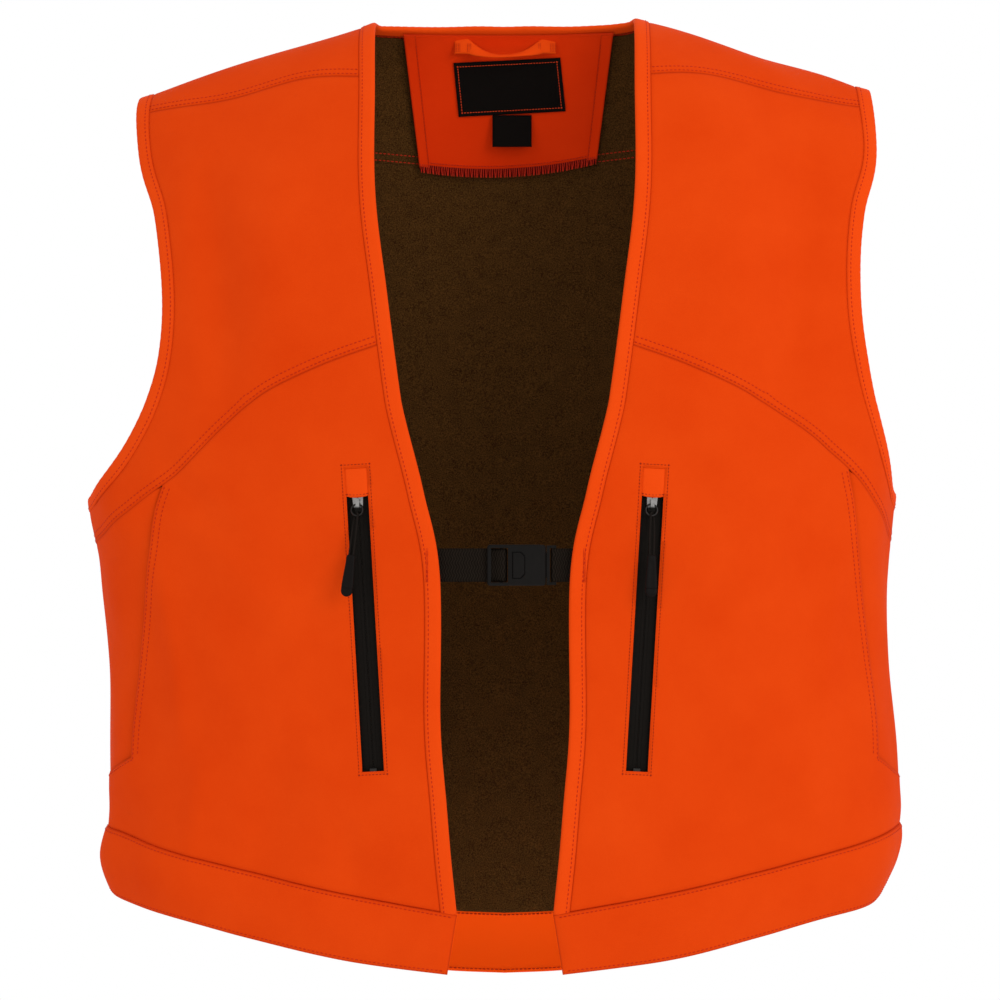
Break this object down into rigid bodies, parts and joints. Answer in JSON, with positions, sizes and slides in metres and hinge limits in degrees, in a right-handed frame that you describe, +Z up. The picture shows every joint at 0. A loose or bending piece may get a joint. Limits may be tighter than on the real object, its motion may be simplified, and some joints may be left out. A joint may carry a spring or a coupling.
{
  "type": "hunting vest",
  "caption": "Sleeveless softshell field vest with a wide open front closed by one strap and buckle, zipped chest pockets, slanted hand pockets, yokes and a curved hem band.",
  "frame": {"origin": "midway between the two neck points, at the height where the vest rests on a wearer's shoulders", "axes": "+X to the wearer's left, +Y to the wearer's back, +Z up; the front faces -Y"},
  "size_m": [0.6426, 0.2354, 0.7721],
  "materials": {
    "orange_softshell": "matt woven face",
    "orange_binding": "matt woven tape",
    "orange_facing": "matt woven face",
    "fleece_backing": "heathered dark brown fleece",
    "zip_tape": "fine woven tape",
    "zip_coil": "satin nylon coil",
    "zip_metal": "gunmetal plate",
    "pull_cord": "braided cord",
    "pull_tab": "matt moulded rubber",
    "buckle_plastic": "fine satin moulding",
    "webbing": "ribbed webbing",
    "label_cloth": "damask label cloth"
  },
  "bodies": {
    "vest": {"left_front_panel": "orange_softshell", "left_front_panel_fleece": "fleece_backing", "left_front_yoke": "orange_softshell", "left_front_yoke_fleece": "fleece_backing", "left_side_panel": "orange_softshell", "left_hem_band": "orange_softshell", "left_armhole_binding": "orange_binding", "left_front_binding": "orange_binding", "left_chest_pocket_bag": "fleece_backing", "left_hand_pocket_bag": "fleece_backing", "left_zip_inner_tape": "zip_tape", "left_zip_outer_tape": "zip_tape", "left_zip_inner_coil": "zip_coil", "left_zip_outer_coil": "zip_coil", "left_zip_bottom_stop": "zip_metal", "left_zip_garage": "orange_softshell", "right_front_panel": "orange_softshell", "right_front_panel_fleece": "fleece_backing", "right_front_yoke": "orange_softshell", "right_front_yoke_fleece": "fleece_backing", "right_side_panel": "orange_softshell", "right_hem_band": "orange_softshell", "right_armhole_binding": "orange_binding", "right_front_binding": "orange_binding", "right_chest_pocket_bag": "fleece_backing", "right_hand_pocket_bag": "fleece_backing", "right_zip_inner_tape": "zip_tape", "right_zip_outer_tape": "zip_tape", "right_zip_inner_coil": "zip_coil", "right_zip_outer_coil": "zip_coil", "right_zip_bottom_stop": "zip_metal", "right_zip_garage": "orange_softshell", "back_yoke": "orange_softshell", "back_yoke_fleece": "fleece_backing", "back_panel": "orange_softshell", "back_panel_fleece": "fleece_backing", "back_hem_band": "orange_softshell", "back_neck_binding": "orange_binding", "back_neck_facing": "orange_facing", "neck_label": "label_cloth", "buckle_insert": "buckle_plastic", "right_strap": "webbing", "left_strap": "webbing"},
    "left_slider": {"left_zip_slider": "zip_metal"},
    "left_pull": {"left_pull_ring": "zip_metal", "left_pull_cord": "pull_cord", "left_pull_tab": "pull_tab"},
    "right_slider": {"right_zip_slider": "zip_metal"},
    "right_pull": {"right_pull_ring": "zip_metal", "right_pull_cord": "pull_cord", "right_pull_tab": "pull_tab"},
    "socket": {"buckle_socket": "buckle_plastic"},
    "button": {"release_button": "buckle_plastic"},
    "loop": {"hanger_loop": "orange_binding"},
    "tab": {"size_tab": "label_cloth"}
  },
  "joints": [
    {"name": "left_zip_slide", "type": "slide", "parent": "vest", "child": "left_slider", "axis": [-0.0568, 0.019, -0.9982], "range_m": [0, 0.187]},
    {"name": "left_pull_swing", "type": "hinge", "parent": "left_slider", "child": "left_pull", "pos_m": [0.1117, -0.10748, -0.37822], "axis": [-0.989, -0.0811, 0.1235], "range_deg": [0, 140]},
    {"name": "right_zip_slide", "type": "slide", "parent": "vest", "child": "right_slider", "axis": [0.0568, 0.019, -0.9982], "range_m": [0, 0.187]},
    {"name": "right_pull_swing", "type": "hinge", "parent": "right_slider", "child": "right_pull", "pos_m": [-0.1117, -0.10748, -0.37822], "axis": [-0.9883, 0.1151, 0.1003], "range_deg": [0, 140]},
    {"name": "buckle_slide", "type": "slide", "parent": "vest", "child": "socket", "axis": [-1, 0, 0], "range_m": [0, 0.028], "deforming": ["right_strap"]},
    {"name": "button_press", "type": "hinge", "parent": "socket", "child": "button", "pos_m": [0.0058, -0.10635, -0.4245], "axis": [0, 0, 1], "range_deg": [0, 6], "stiffness_Nm_per_rad": 0.02},
    {"name": "hanger_loop_flip", "type": "hinge", "parent": "vest", "child": "loop", "pos_m": [0, 0.05432, -0.0074], "axis": [-1, 0, 0], "range_deg": [0, 130]},
    {"name": "size_tab_flip", "type": "hinge", "parent": "vest", "child": "tab", "pos_m": [0.006, 0.0817, -0.06117], "axis": [-1, 0, 0], "range_deg": [0, 120]}
  ]
}
